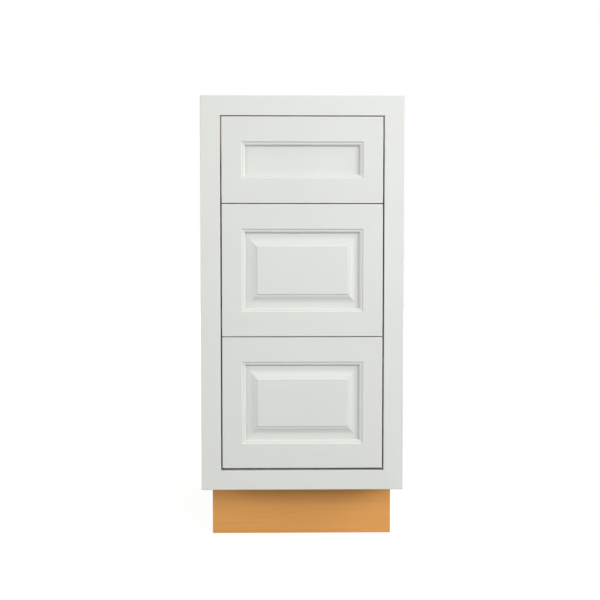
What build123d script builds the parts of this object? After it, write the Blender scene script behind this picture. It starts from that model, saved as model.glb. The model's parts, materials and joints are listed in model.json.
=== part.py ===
from build123d import *

import math
import os

# Drawer base cabinet with an inset face frame, in millimetres.
# The origin is on the floor under the middle of the cabinet: +X to the right seen from the front,
# +Y from the front to the wall, +Z up.

# Whole cabinet
CABINET_WIDTH = 392.0
CABINET_HEIGHT = 876.0
CABINET_DEPTH = 610.0
TOE_HEIGHT = 114.0
TOE_RECESS = 95.0

# Face frame
FRAME_THICKNESS = 19.0
FRAME_STILE_WIDTH = 38.0
FRAME_RAIL_WIDTH = 38.0
FRAME_OVERHANG = 13.5
TENON_LENGTH = 22.0
TENON_THICKNESS = 8.0
TENON_SETBACK = 3.0
TENON_SHOULDER = 6.0
HOUSING_WEB = 2.0
EASE = 0.8

# Plywood box
SIDE_THICKNESS = 12.0
SIDE_HOUSING = 4.0
FLOOR_THICKNESS = 12.0
FLOOR_DROP = 3.0
BACK_THICKNESS = 12.0
BACK_RABBET = 6.0
TOE_BOARD_THICKNESS = 12.0
HANGING_RAIL_THICKNESS = 18.0
HANGING_RAIL_HEIGHT = 100.0
BRACE_LEG = 75.0
BRACE_THICKNESS = 18.0
BRACE_HOLE_RADIUS = 3.0
BRACE_HOLE_INSET = 24.0

# Drawer fronts
FRONT_THICKNESS = 19.0
FRONT_SIDE_GAP = 2.7
TOP_GAP = 1.8
FRONT_GAP = 1.6
BOTTOM_GAP = 4.6
TOP_FRONT_HEIGHT = 165.4
FRONT_STILE_WIDTH = 45.7
FRONT_RAIL_WIDTH = 55.5
STICKING_STEP = 2.0
STICKING_SLANT = 2.0
STICKING_LEDGE = 1.4
OVOLO_RADIUS = 4.6
STICKING_FALL = 1.4
GROOVE_WIDTH = 6.0
GROOVE_DEPTH = 10.0
COPE_OVERRUN = 5.0
PANEL_SLACK = 0.1
PANEL_EXPANSION = 1.0
FIELD_SETBACK = 1.6
RAISE_SIDE = 22.5
RAISE_END = 26.5
RAISE_STEP = 1.6
RAISE_SLANT = 1.2
RAISE_LEDGE = 4.0
RAISE_LEDGE_FALL = 0.7
RAISE_BEVEL = 8.4
RAISE_FOOT_RADIUS = 18.0

# Drawer boxes
BOX_SIDE_GAP = 5.0
BOX_THICKNESS = 15.0
BOX_TOP_ROUND = 2.0
BOX_LIFT = 18.0
BOX_HEADROOM = 47.0
BOX_REAR_ROOM = 28.0
BOTTOM_RECESS = 13.0
BOTTOM_THICKNESS = 6.0
BOTTOM_GROOVE = 6.0
DOVETAIL_PITCH = 32.0
DOVETAIL_PIN_TIP = 7.0
DOVETAIL_SLOPE = 1 / 7

# Concealed slides
SLIDE_STEEL = 1.5
SLIDE_DROP = 4.0
SLIDE_FLANGE_HEIGHT = 36.0
SLIDE_FRONT_SETBACK = 3.0
SLIDE_REAR_OVERRUN = 6.0
RUNNER_SIDE_GAP = 4.0
RUNNER_WIDTH = 20.5
RUNNER_HEIGHT = 9.0
RUNNER_LIP = 5.0
RUNNER_REAR_SETBACK = 4.0
TRACK_HEIGHT = 5.5
TRACK_SETBACK = 4.0
MIDDLE_SIDE_GAP = 1.0
MIDDLE_FRONT_SETBACK = 2.0
MIDDLE_REAR_SETBACK = 10.0
RIDE_GAP = 0.3
CLEAT_HEIGHT = 46.0
CLEAT_DROP = 4.0
CLEAT_OVERRUN = 8.0

# Locking clips and release levers
CLIP_LENGTH = 24.0
CLIP_HEIGHT = 6.5
CLIP_ARM_WIDTH = 16.0
CLIP_TRACK_GAP = 2.0
EAR_THICKNESS = 2.0
EAR_LENGTH = 8.0
PIVOT_SETBACK = 16.0
PIVOT_LIFT = 3.0
PIVOT_RADIUS = 1.0
PIVOT_FIT = 0.05
HUB_RADIUS = 2.5
LEVER_SIDE_GAP = 0.3
LEVER_THICKNESS = 1.6
LEVER_REACH = 13.0
LEVER_PAD_LENGTH = 4.0
LEVER_PAD_DEPTH = 3.2
LEVER_NOSE = 7.0

# Screws
SCREW_RADIUS = 2.0
SCREW_FIT = 0.05
SCREW_HEAD_RADIUS = 3.8
SCREW_HEAD_HEIGHT = 1.6
SCREW_CROSS_WIDTH = 0.9
SCREW_CROSS_LENGTH = 4.0
SCREW_CROSS_DEPTH = 0.9
SLIDE_SCREW_GRIP = 10.0
SLIDE_SCREW_COUNT = 3
SLIDE_SCREW_END = 40.0
FRONT_SCREW_GRIP = 11.0
FRONT_SCREW_SIDE_INSET = 10.0
FRONT_SCREW_LIFT = 13.0
FRONT_SCREW_TOP_INSET = 22.0

# Places worked out from the sizes
FRONT_Y = -CABINET_DEPTH / 2
BACK_Y = CABINET_DEPTH / 2
FRAME_BACK_Y = FRONT_Y + FRAME_THICKNESS
HOUSING_Y = FRONT_Y + TENON_SETBACK + TENON_THICKNESS + HOUSING_WEB
BACK_FACE_Y = BACK_Y - BACK_THICKNESS
HANGING_FACE_Y = BACK_FACE_Y - HANGING_RAIL_THICKNESS
TOE_FACE_Y = FRONT_Y + TOE_RECESS
TOE_BACK_Y = TOE_FACE_Y + TOE_BOARD_THICKNESS
FRAME_HALF = CABINET_WIDTH / 2
OPENING_HALF = FRAME_HALF - FRAME_STILE_WIDTH
BOX_OUTER_HALF = FRAME_HALF - FRAME_OVERHANG
BOX_INNER_HALF = BOX_OUTER_HALF - SIDE_THICKNESS
OPENING_LOW = TOE_HEIGHT + FRAME_RAIL_WIDTH
OPENING_HIGH = CABINET_HEIGHT - FRAME_RAIL_WIDTH
FLOOR_TOP = OPENING_LOW - FLOOR_DROP
FLOOR_LOW = FLOOR_TOP - FLOOR_THICKNESS

FRONT_HALF = OPENING_HALF - FRONT_SIDE_GAP
FRONT_BACK_Y = FRONT_Y + FRONT_THICKNESS
STICKING_WIDTH = STICKING_SLANT + STICKING_LEDGE + OVOLO_RADIUS
STICKING_DEPTH = STICKING_STEP + OVOLO_RADIUS + STICKING_FALL
GROOVE_BACK = STICKING_DEPTH + GROOVE_WIDTH
TONGUE_FRONT = STICKING_DEPTH + PANEL_SLACK
TONGUE_BACK = GROOVE_BACK - PANEL_SLACK
TONGUE_REACH = GROOVE_DEPTH - PANEL_EXPANSION

DRAWER_HALF = OPENING_HALF - BOX_SIDE_GAP
DRAWER_INNER_HALF = DRAWER_HALF - BOX_THICKNESS
DRAWER_FACE_Y = FRONT_BACK_Y + BOX_THICKNESS
DRAWER_REAR_Y = HANGING_FACE_Y - BOX_REAR_ROOM
RUNNER_OUTER = DRAWER_INNER_HALF - RUNNER_SIDE_GAP
RUNNER_INNER = RUNNER_OUTER - RUNNER_WIDTH
RUNNER_MIDDLE = (RUNNER_OUTER + RUNNER_INNER) / 2
CLIP_BACK_Y = DRAWER_FACE_Y + CLIP_LENGTH
TRACK_Y = CLIP_BACK_Y + TRACK_SETBACK
SLIDE_Y = (FRAME_BACK_Y + SLIDE_FRONT_SETBACK, DRAWER_REAR_Y + SLIDE_REAR_OVERRUN)
SLIDE_FACE_X = OPENING_HALF - SLIDE_STEEL


class Drawer:
    """Heights of one drawer: its front, its box and the bottom panel of the box."""

    def __init__(self, name, front_low, front_height, raised):
        self.name = name
        self.raised = raised
        self.front = (front_low, front_low + front_height)
        self.box = (front_low + BOX_LIFT, front_low + front_height - BOX_HEADROOM)
        self.bottom = (self.box[0] + BOTTOM_RECESS, self.box[0] + BOTTOM_RECESS + BOTTOM_THICKNESS)
        self.slide_low = self.box[0] - SLIDE_DROP
        self.slide_screw_z = self.slide_low + SLIDE_FLANGE_HEIGHT / 2
        self.front_screw_z = (self.bottom[1] + FRONT_SCREW_LIFT, self.box[1] - FRONT_SCREW_TOP_INSET)


def stack_drawers():
    """Three drawers down the frame's opening; the two lower ones share what the top one leaves."""
    top_low = OPENING_HIGH - TOP_GAP - TOP_FRONT_HEIGHT
    lower_height = (top_low - OPENING_LOW - BOTTOM_GAP - 2 * FRONT_GAP) / 2
    bottom_low = OPENING_LOW + BOTTOM_GAP
    middle_low = bottom_low + lower_height + FRONT_GAP
    return [
        Drawer("top_drawer", top_low, TOP_FRONT_HEIGHT, False),
        Drawer("middle_drawer", middle_low, lower_height, True),
        Drawer("bottom_drawer", bottom_low, lower_height, True),
    ]


def block(x, y, z):
    """Box between a low and a high value on each axis."""
    corner = Align.MIN, Align.MIN, Align.MIN
    return Pos(x[0], y[0], z[0]) * Box(x[1] - x[0], y[1] - y[0], z[1] - z[0], align=corner)


def prism(points, reach):
    """Flat outline of straight lines, swept along a vector."""
    return extrude(Face(Wire.make_polygon(points)), amount=Vector(reach).length, dir=reach)


def bar(x, radius, y, z):
    """Round bar along X."""
    upright = Align.CENTER, Align.CENTER, Align.MIN
    return Location((x[0], y, z), (0, 90, 0)) * Cylinder(radius, x[1] - x[0], align=upright)


def mirrored(piece):
    """The same piece on the other side of the cabinet."""
    return mirror(piece, about=Plane.YZ)


def save(name, *pieces):
    """Write one node, each of its pieces a separate solid."""
    solids = [solid for piece in pieces for solid in piece.solids()]
    export_step(Compound(solids), f"parts/{name}.step")


# Screws

def screw(grip):
    """Cross-head screw on the Z axis: the head stands on the plane Z = 0 and the shank goes down."""
    upright = Align.CENTER, Align.CENTER, Align.MIN
    hanging = Align.CENTER, Align.CENTER, Align.MAX
    head = Cylinder(SCREW_HEAD_RADIUS, SCREW_HEAD_HEIGHT, align=upright)
    head = fillet(head.edges().group_by(Axis.Z)[-1], SCREW_HEAD_HEIGHT / 2)
    shank = Cylinder(SCREW_RADIUS, grip, align=hanging)
    slot = Pos(0, 0, SCREW_HEAD_HEIGHT) * Box(SCREW_CROSS_LENGTH, SCREW_CROSS_WIDTH, 2 * SCREW_CROSS_DEPTH)
    return head + shank - slot - Rot(0, 0, 90) * slot


def screw_hole(grip):
    """Hole for the shank of a screw of that grip."""
    return Cylinder(SCREW_RADIUS + SCREW_FIT, grip, align=(Align.CENTER, Align.CENTER, Align.MAX))


def slide_screw_places(drawer):
    """Places of the screws in the right slide: each head faces the drawer, on the flange."""
    first = SLIDE_Y[0] + SLIDE_SCREW_END
    step = (SLIDE_Y[1] - SLIDE_SCREW_END - first) / (SLIDE_SCREW_COUNT - 1)
    rows = [first + step * index for index in range(SLIDE_SCREW_COUNT)]
    return [Location((SLIDE_FACE_X, y, drawer.slide_screw_z), (0, -90, 0)) for y in rows]


def front_screw_places(drawer):
    """Places of the screws that hold the drawer front: each head is inside the box."""
    reach = DRAWER_INNER_HALF - FRONT_SCREW_SIDE_INSET
    spots = [(x, z) for x in (-reach, reach) for z in drawer.front_screw_z]
    return [Location((x, DRAWER_FACE_Y, z), (-90, 0, 0)) for x, z in spots]


def drilled(piece, places, grip):
    """A piece with the screws' holes in it."""
    for place in places:
        piece = piece - place * screw_hole(grip)
    return piece


# Face frame

def frame_rail(low, high):
    """Rail of the face frame with a stub tenon at each end."""
    body = block((-OPENING_HALF, OPENING_HALF), (FRONT_Y, FRAME_BACK_Y), (low, high))
    body = chamfer(body.edges().filter_by(Axis.X).group_by(Axis.Y)[0], EASE)
    return body + frame_tenon(low, high)


def frame_tenon(low, high):
    """Bar through a rail whose ends are the rail's two tenons."""
    reach = OPENING_HALF + TENON_LENGTH
    depth = (FRONT_Y + TENON_SETBACK, FRONT_Y + TENON_SETBACK + TENON_THICKNESS)
    return block((-reach, reach), depth, (low + TENON_SHOULDER, high - TENON_SHOULDER))


def right_frame_stile():
    """Right stile of the face frame, with its mortises and the housing for the side panel."""
    stile = block((OPENING_HALF, FRAME_HALF), (FRONT_Y, FRAME_BACK_Y), (TOE_HEIGHT, CABINET_HEIGHT))
    front_edges = stile.edges().group_by(Axis.Y)[0]
    stile = chamfer(front_edges.sort_by(Axis.X)[1:], EASE)
    inner_edge = [
        (OPENING_HALF, FRONT_Y, OPENING_LOW),
        (OPENING_HALF + EASE, FRONT_Y, OPENING_LOW),
        (OPENING_HALF, FRONT_Y + EASE, OPENING_LOW),
    ]
    stile -= prism(inner_edge, (0, 0, OPENING_HIGH - OPENING_LOW))
    stile -= frame_tenon(TOE_HEIGHT, OPENING_LOW)
    stile -= frame_tenon(OPENING_HIGH, CABINET_HEIGHT)
    depth = (HOUSING_Y, FRAME_BACK_Y)
    return stile - block((BOX_INNER_HALF, BOX_OUTER_HALF), depth, (TOE_HEIGHT, CABINET_HEIGHT))


def save_face_frame():
    """Two stiles and two rails."""
    stile = right_frame_stile()
    save("left_stile", mirrored(stile))
    save("right_stile", stile)
    save("top_rail", frame_rail(OPENING_HIGH, CABINET_HEIGHT))
    floor_groove = block((-OPENING_HALF, OPENING_HALF), (HOUSING_Y, FRAME_BACK_Y), (FLOOR_LOW, FLOOR_TOP))
    save("bottom_rail", frame_rail(TOE_HEIGHT, OPENING_LOW) - floor_groove)


# Plywood box

def right_side_panel():
    """Right side panel with its toe notch, the housing for the floor and the rabbet for the back."""
    outline = [
        (BOX_INNER_HALF, HOUSING_Y, CABINET_HEIGHT),
        (BOX_INNER_HALF, BACK_Y, CABINET_HEIGHT),
        (BOX_INNER_HALF, BACK_Y, 0),
        (BOX_INNER_HALF, TOE_BACK_Y, 0),
        (BOX_INNER_HALF, TOE_BACK_Y, TOE_HEIGHT),
        (BOX_INNER_HALF, HOUSING_Y, TOE_HEIGHT),
    ]
    panel = prism(outline, (SIDE_THICKNESS, 0, 0))
    panel -= cabinet_floor()
    return panel - back_panel()


def cabinet_floor():
    """Floor of the box, housed in the side panels and tongued into the bottom rail."""
    reach = BOX_INNER_HALF + SIDE_HOUSING
    floor = block((-reach, reach), (FRAME_BACK_Y, BACK_FACE_Y), (FLOOR_LOW, FLOOR_TOP))
    return floor + block((-OPENING_HALF, OPENING_HALF), (HOUSING_Y, FRAME_BACK_Y), (FLOOR_LOW, FLOOR_TOP))


def back_panel():
    """Back of the box, in the rabbets of the side panels."""
    reach = BOX_INNER_HALF + BACK_RABBET
    return block((-reach, reach), (BACK_FACE_Y, BACK_Y), (0, CABINET_HEIGHT))


def toe_kick_board():
    """Board over the toe notch, with a tongue between the side panels up to the floor."""
    depth = (TOE_FACE_Y, TOE_BACK_Y)
    board = block((-BOX_OUTER_HALF, BOX_OUTER_HALF), depth, (0, TOE_HEIGHT))
    return board + block((-BOX_INNER_HALF, BOX_INNER_HALF), depth, (TOE_HEIGHT, FLOOR_LOW))


def hanging_rail():
    """Rail across the top of the back, for the screws into the wall."""
    heights = (CABINET_HEIGHT - HANGING_RAIL_HEIGHT, CABINET_HEIGHT)
    return block((-BOX_INNER_HALF, BOX_INNER_HALF), (HANGING_FACE_Y, BACK_FACE_Y), heights)


def right_corner_brace(corner_y, into):
    """Three-cornered brace in a top corner, with the hole for a worktop screw."""
    low = CABINET_HEIGHT - BRACE_THICKNESS
    corners = [
        (BOX_INNER_HALF, corner_y, low),
        (BOX_INNER_HALF - BRACE_LEG, corner_y, low),
        (BOX_INNER_HALF, corner_y + into * BRACE_LEG, low),
    ]
    hole = Pos(BOX_INNER_HALF - BRACE_HOLE_INSET, corner_y + into * BRACE_HOLE_INSET, CABINET_HEIGHT)
    return prism(corners, (0, 0, BRACE_THICKNESS)) - hole * Cylinder(BRACE_HOLE_RADIUS, 4 * BRACE_THICKNESS)


def save_box():
    """Panels of the box, the toe-kick board and the braces."""
    panel = right_side_panel()
    save("left_side_panel", mirrored(panel))
    save("right_side_panel", panel)
    save("cabinet_floor", cabinet_floor())
    save("back_panel", back_panel())
    save("toe_kick_board", toe_kick_board())
    save("hanging_rail", hanging_rail())
    braces = [right_corner_brace(FRAME_BACK_Y, 1), right_corner_brace(HANGING_FACE_Y, -1)]
    save("corner_braces", *braces, *[mirrored(brace) for brace in braces])


# Drawer fronts

def lines(points):
    """Straight edges from each point to the next."""
    return [Edge.make_line(start, end) for start, end in zip(points, points[1:])]


def swept(edges, reach):
    """Closed outline of edges, swept along a vector."""
    return extrude(Face(Wire.combine(edges)[0]), amount=Vector(reach).length, dir=reach)


def sticking_edges(width, place):
    """Outline across a stile or rail: eased outer edge, moulded inner edge, groove for the panel.

    place(u, d) is the point u in from the outer edge and d behind the front face.
    """
    shoulder = width - STICKING_WIDTH
    ledge = shoulder + STICKING_SLANT
    curve = ledge + STICKING_LEDGE
    curve_end = STICKING_STEP + OVOLO_RADIUS
    groove = width - GROOVE_DEPTH
    bulge = OVOLO_RADIUS * math.sqrt(0.5)
    face = [(0, EASE), (EASE, 0), (shoulder, 0), (ledge, STICKING_STEP), (curve, STICKING_STEP)]
    rear = [
        (width, curve_end),
        (width, STICKING_DEPTH),
        (groove, STICKING_DEPTH),
        (groove, GROOVE_BACK),
        (width, GROOVE_BACK),
        (width, FRONT_THICKNESS),
        (0, FRONT_THICKNESS),
        (0, EASE),
    ]
    middle = place(curve + bulge, curve_end - bulge)
    ovolo = Edge.make_three_point_arc(place(*face[-1]), middle, place(*rear[0]))
    return lines([place(*spot) for spot in face]) + [ovolo] + lines([place(*spot) for spot in rear])


def front_right_stile(drawer, overrun=0.0):
    """Right stile of a drawer front, moulded along its inner edge; overrun lengthens both its ends."""
    low = drawer.front[0] - overrun
    high = drawer.front[1] + overrun
    edges = sticking_edges(FRONT_STILE_WIDTH, lambda u, d: (FRONT_HALF - u, FRONT_Y + d, low))
    return swept(edges, (0, 0, high - low))


def eased_ends(stile, drawer):
    """A stile with the front edges of its two ends eased."""
    for end, inward in zip(drawer.front, (1, -1)):
        corner = [
            (-FRONT_HALF, FRONT_Y, end),
            (-FRONT_HALF, FRONT_Y + EASE, end),
            (-FRONT_HALF, FRONT_Y, end + inward * EASE),
        ]
        stile -= prism(corner, (2 * FRONT_HALF, 0, 0))
    return stile


def front_rail(outer_z, inward, cutter):
    """Rail of a drawer front, its ends coped over the stiles' moulding and tongued into their grooves."""
    reach = FRONT_HALF - FRONT_STILE_WIDTH + GROOVE_DEPTH + COPE_OVERRUN
    edges = sticking_edges(FRONT_RAIL_WIDTH, lambda u, d: (0, FRONT_Y + d, outer_z + inward * u))
    right_half = swept(edges, (reach, 0, 0)) - cutter
    return right_half + mirrored(right_half)


def raised_half(half_sight, raise_width, side, place):
    """Edges on one side of a raised panel's outline, from its tongue to the edge of its field."""
    field = half_sight - raise_width
    outer = half_sight + TONGUE_REACH
    ledge_start = (field + RAISE_SLANT, FIELD_SETBACK + RAISE_STEP)
    ledge_end = (ledge_start[0] + RAISE_LEDGE, ledge_start[1] + RAISE_LEDGE_FALL)
    foot = ledge_end[0] + RAISE_BEVEL
    slope = math.atan2(TONGUE_FRONT - ledge_end[1], RAISE_BEVEL)
    turn = RAISE_FOOT_RADIUS * math.tan(slope / 2)
    flat = place(side * (foot + turn), TONGUE_FRONT)
    bevel = place(side * (foot - turn * math.cos(slope)), TONGUE_FRONT - turn * math.sin(slope))
    inwards = Vector(place(0, 0)) - Vector(place(side, 0))
    edges = lines([place(side * outer, TONGUE_BACK), place(side * outer, TONGUE_FRONT), flat])
    edges.append(Edge.make_tangent_arc(flat, inwards, bevel))
    ledge = [place(side * u, d) for u, d in (ledge_end, ledge_start)]
    return edges + lines([bevel, *ledge, place(side * field, FIELD_SETBACK)])


def raised_edges(half_sight, raise_width, place):
    """Outline across a raised panel: tongues, flats, hollow-footed bevels, ledges and a stepped-up field.

    place(u, d) is the point u from the middle of the panel and d behind the front face.
    """
    field = half_sight - raise_width
    outer = half_sight + TONGUE_REACH
    edges = lines([place(-outer, TONGUE_BACK), place(outer, TONGUE_BACK)])
    edges += lines([place(-field, FIELD_SETBACK), place(field, FIELD_SETBACK)])
    for side in (-1, 1):
        edges += raised_half(half_sight, raise_width, side, place)
    return edges


def front_panel(drawer):
    """Panel of a drawer front, loose in the grooves of its frame: raised or flat."""
    middle_z = sum(drawer.front) / 2
    half_width = FRONT_HALF - FRONT_STILE_WIDTH
    half_height = (drawer.front[1] - drawer.front[0]) / 2 - FRONT_RAIL_WIDTH
    outer_x = half_width + TONGUE_REACH
    outer_z = half_height + TONGUE_REACH
    if not drawer.raised:
        depth = (FRONT_Y + TONGUE_FRONT, FRONT_Y + TONGUE_BACK)
        return block((-outer_x, outer_x), depth, (middle_z - outer_z, middle_z + outer_z))
    low = middle_z - outer_z
    across = raised_edges(half_width, RAISE_SIDE, lambda u, d: (u, FRONT_Y + d, low))
    upward = raised_edges(half_height, RAISE_END, lambda u, d: (-outer_x, FRONT_Y + d, middle_z + u))
    return swept(across, (0, 0, 2 * outer_z)) & swept(upward, (2 * outer_x, 0, 0))


def save_front(drawer):
    """Stiles, rails and panel of one drawer front."""
    cutter = front_right_stile(drawer, COPE_OVERRUN)
    save(f"{drawer.name}_front_top_rail", front_rail(drawer.front[1], -1, cutter))
    save(f"{drawer.name}_front_bottom_rail", front_rail(drawer.front[0], 1, cutter))
    right = eased_ends(front_right_stile(drawer), drawer)
    drilled_right = drilled(right, front_screw_places(drawer), front_screw_grip())
    save(f"{drawer.name}_front_right_stile", drilled_right)
    save(f"{drawer.name}_front_left_stile", mirrored(drilled_right))
    save(f"{drawer.name}_front_panel", front_panel(drawer))


# Drawer boxes

def front_screw_grip():
    """Length of a front screw's shank: through the box front and into the drawer front."""
    return BOX_THICKNESS + FRONT_SCREW_GRIP


def right_corner_pins(drawer, end_y, into, low):
    """Dovetail pins in the right corner of a box, above low: the corner less the tails of the side."""
    root_y = end_y + into * BOX_THICKNESS
    pins = block((DRAWER_INNER_HALF, DRAWER_HALF), sorted((end_y, root_y)), (low, drawer.box[1]))
    height = drawer.box[1] - drawer.box[0]
    count = max(2, round(height / DOVETAIL_PITCH))
    pitch = height / count
    end_half = (pitch - DOVETAIL_PIN_TIP) / 2
    root_half = end_half - BOX_THICKNESS * DOVETAIL_SLOPE
    for index in range(count):
        middle = drawer.box[0] + pitch * (index + 0.5)
        tail = [
            (DRAWER_INNER_HALF, end_y, middle - end_half),
            (DRAWER_INNER_HALF, end_y, middle + end_half),
            (DRAWER_INNER_HALF, root_y, middle + root_half),
            (DRAWER_INNER_HALF, root_y, middle - root_half),
        ]
        pins -= prism(tail, (BOX_THICKNESS, 0, 0))
    return pins


def box_bottom(drawer):
    """Bottom panel of a drawer box, in the grooves of the sides and the front and under the back."""
    reach = DRAWER_INNER_HALF + BOTTOM_GROOVE
    return block((-reach, reach), (DRAWER_FACE_Y - BOTTOM_GROOVE, DRAWER_REAR_Y), drawer.bottom)


def rounded_walls(drawer):
    """All four walls of a drawer box as one ring whose top edges are rounded."""
    outer = block((-DRAWER_HALF, DRAWER_HALF), (FRONT_BACK_Y, DRAWER_REAR_Y), drawer.box)
    inner_y = (DRAWER_FACE_Y, DRAWER_REAR_Y - BOX_THICKNESS)
    ring = outer - block((-DRAWER_INNER_HALF, DRAWER_INNER_HALF), inner_y, drawer.box)
    return fillet(ring.edges().group_by(Axis.Z)[-1], BOX_TOP_ROUND)


def save_drawer_box(drawer):
    """Dovetailed box of one drawer and the screws that hold its front."""
    walls = rounded_walls(drawer)
    bottom = box_bottom(drawer)
    front_pins = right_corner_pins(drawer, FRONT_BACK_Y, 1, drawer.box[0])
    back_pins = right_corner_pins(drawer, DRAWER_REAR_Y, -1, drawer.bottom[1])
    side = block((DRAWER_INNER_HALF, DRAWER_HALF), (FRONT_BACK_Y, DRAWER_REAR_Y), drawer.box)
    side = (side - front_pins - back_pins - bottom) & walls
    between = (-DRAWER_INNER_HALF, DRAWER_INNER_HALF)
    front = block(between, (FRONT_BACK_Y, DRAWER_FACE_Y), drawer.box)
    front = (front + front_pins + mirrored(front_pins) - bottom) & walls
    back = block(between, (DRAWER_REAR_Y - BOX_THICKNESS, DRAWER_REAR_Y), (drawer.bottom[1], drawer.box[1]))
    back = (back + back_pins + mirrored(back_pins)) & walls
    places = front_screw_places(drawer)
    save(f"{drawer.name}_box_right_side", side)
    save(f"{drawer.name}_box_left_side", mirrored(side))
    save(f"{drawer.name}_box_front", drilled(front, places, front_screw_grip()))
    save(f"{drawer.name}_box_back", back)
    save(f"{drawer.name}_box_bottom", bottom)
    save(f"{drawer.name}_front_screws", *[place * screw(front_screw_grip()) for place in places])


# Concealed slides

def channel(y, back_z, lip_z):
    """Steel channel around the middle rail: a back plate, two walls and two lips that turn inwards."""
    up = 1 if lip_z > back_z else -1
    back = sorted((back_z, back_z + up * SLIDE_STEEL))
    lips = sorted((lip_z, lip_z - up * SLIDE_STEEL))
    wall = sorted((back_z, lip_z))
    solid = block((RUNNER_INNER, RUNNER_OUTER), y, back)
    solid += block((RUNNER_INNER, RUNNER_INNER + SLIDE_STEEL), y, wall)
    solid += block((RUNNER_OUTER - SLIDE_STEEL, RUNNER_OUTER), y, wall)
    solid += block((RUNNER_INNER, RUNNER_INNER + SLIDE_STEEL + RUNNER_LIP), y, lips)
    return solid + block((RUNNER_OUTER - SLIDE_STEEL - RUNNER_LIP, RUNNER_OUTER), y, lips)


def right_cabinet_rail(drawer):
    """Fixed rail of a slide: a flange on the cleat, a base under the drawer and a track behind the clip."""
    low = drawer.slide_low
    flange = block((SLIDE_FACE_X, OPENING_HALF), SLIDE_Y, (low, low + SLIDE_FLANGE_HEIGHT))
    base = block((RUNNER_INNER, OPENING_HALF), SLIDE_Y, (low, low + SLIDE_STEEL))
    track = channel((TRACK_Y, SLIDE_Y[1]), low, low + SLIDE_STEEL + TRACK_HEIGHT)
    return drilled(flange + base + track, slide_screw_places(drawer), SLIDE_SCREW_GRIP)


def right_drawer_rail(drawer):
    """Moving rail of a slide, under the bottom of the drawer box."""
    high = drawer.bottom[0]
    return channel((CLIP_BACK_Y, DRAWER_REAR_Y - RUNNER_REAR_SETBACK), high, high - RUNNER_HEIGHT)


def right_middle_rail(drawer):
    """Middle rail of a slide: an I-beam that runs in the track and carries the drawer rail."""
    y = (TRACK_Y + MIDDLE_FRONT_SETBACK, DRAWER_REAR_Y - MIDDLE_REAR_SETBACK)
    low = drawer.slide_low + SLIDE_STEEL + RIDE_GAP
    high = drawer.bottom[0] - SLIDE_STEEL - RIDE_GAP
    flange = (RUNNER_INNER + SLIDE_STEEL + MIDDLE_SIDE_GAP, RUNNER_OUTER - SLIDE_STEEL - MIDDLE_SIDE_GAP)
    web = (RUNNER_MIDDLE - SLIDE_STEEL / 2, RUNNER_MIDDLE + SLIDE_STEEL / 2)
    beam = block(web, y, (low, high))
    beam += block(flange, y, (low, low + SLIDE_STEEL))
    return beam + block(flange, y, (high - SLIDE_STEEL, high))


def right_cleat(drawer):
    """Wooden cleat on the side panel that brings the slide flush with the frame's opening."""
    low = drawer.slide_low - CLEAT_DROP
    length = (FRAME_BACK_Y, SLIDE_Y[1] + CLEAT_OVERRUN)
    cleat = block((OPENING_HALF, BOX_INNER_HALF), length, (low, low + CLEAT_HEIGHT))
    return drilled(cleat, slide_screw_places(drawer), SLIDE_SCREW_GRIP)


def save_slides(drawers):
    """Slides of all drawers, the cleats that carry them and their screws."""
    rails = [right_cabinet_rail(drawer) for drawer in drawers]
    cleats = [right_cleat(drawer) for drawer in drawers]
    screws = [place * screw(SLIDE_SCREW_GRIP) for drawer in drawers for place in slide_screw_places(drawer)]
    groups = {"slide_cabinet_rails": rails, "slide_cleats": cleats, "slide_screws": screws}
    for name, pieces in groups.items():
        save(name, *pieces, *[mirrored(piece) for piece in pieces])
    for drawer in drawers:
        for kind, rail in (("drawer", right_drawer_rail(drawer)), ("middle", right_middle_rail(drawer))):
            save(f"{drawer.name}_slide_{kind}_rails", rail, mirrored(rail))


# Locking clips and release levers

def right_clip(drawer):
    """Clip that locks the drawer onto its rail, with two ears and the pin of the release lever."""
    high = drawer.bottom[0]
    pivot_y = DRAWER_FACE_Y + PIVOT_SETBACK
    pivot_z = drawer.box[0] + PIVOT_LIFT
    arm = clip_arm()
    clip = block((arm[0], RUNNER_OUTER), (DRAWER_FACE_Y, CLIP_BACK_Y), (high - CLIP_HEIGHT, high))
    ear_y = (pivot_y - EAR_LENGTH / 2, pivot_y + EAR_LENGTH / 2)
    for ear in ((arm[0], arm[0] + EAR_THICKNESS), (arm[1] - EAR_THICKNESS, arm[1])):
        clip += block(ear, ear_y, (pivot_z - HUB_RADIUS, high - CLIP_HEIGHT))
    return clip + bar(arm, PIVOT_RADIUS, pivot_y, pivot_z)


def clip_arm():
    """Sides of the clip's arm, clear of the slide's track."""
    outer = RUNNER_INNER - CLIP_TRACK_GAP
    return (outer - CLIP_ARM_WIDTH, outer)


def right_lever(drawer):
    """Release lever on the clip's pin: a finger pad in front, a nose behind."""
    pivot_y = DRAWER_FACE_Y + PIVOT_SETBACK
    pivot_z = drawer.box[0] + PIVOT_LIFT
    arm = clip_arm()
    inset = EAR_THICKNESS + LEVER_SIDE_GAP
    width = (arm[0] + inset, arm[1] - inset)
    plate = (pivot_z - LEVER_THICKNESS, pivot_z)
    lever = bar(width, HUB_RADIUS, pivot_y, pivot_z)
    lever += block(width, (pivot_y - LEVER_REACH, pivot_y + LEVER_NOSE), plate)
    pad_y = (pivot_y - LEVER_REACH, pivot_y - LEVER_REACH + LEVER_PAD_LENGTH)
    lever += block(width, pad_y, (pivot_z - LEVER_PAD_DEPTH, pivot_z))
    return lever - bar(arm, PIVOT_RADIUS + PIVOT_FIT, pivot_y, pivot_z)


def save_clips(drawer):
    """Clips and levers of one drawer."""
    for kind, piece in (("locking_clips", right_clip(drawer)), ("release_levers", right_lever(drawer))):
        save(f"{drawer.name}_{kind}", piece, mirrored(piece))


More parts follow.
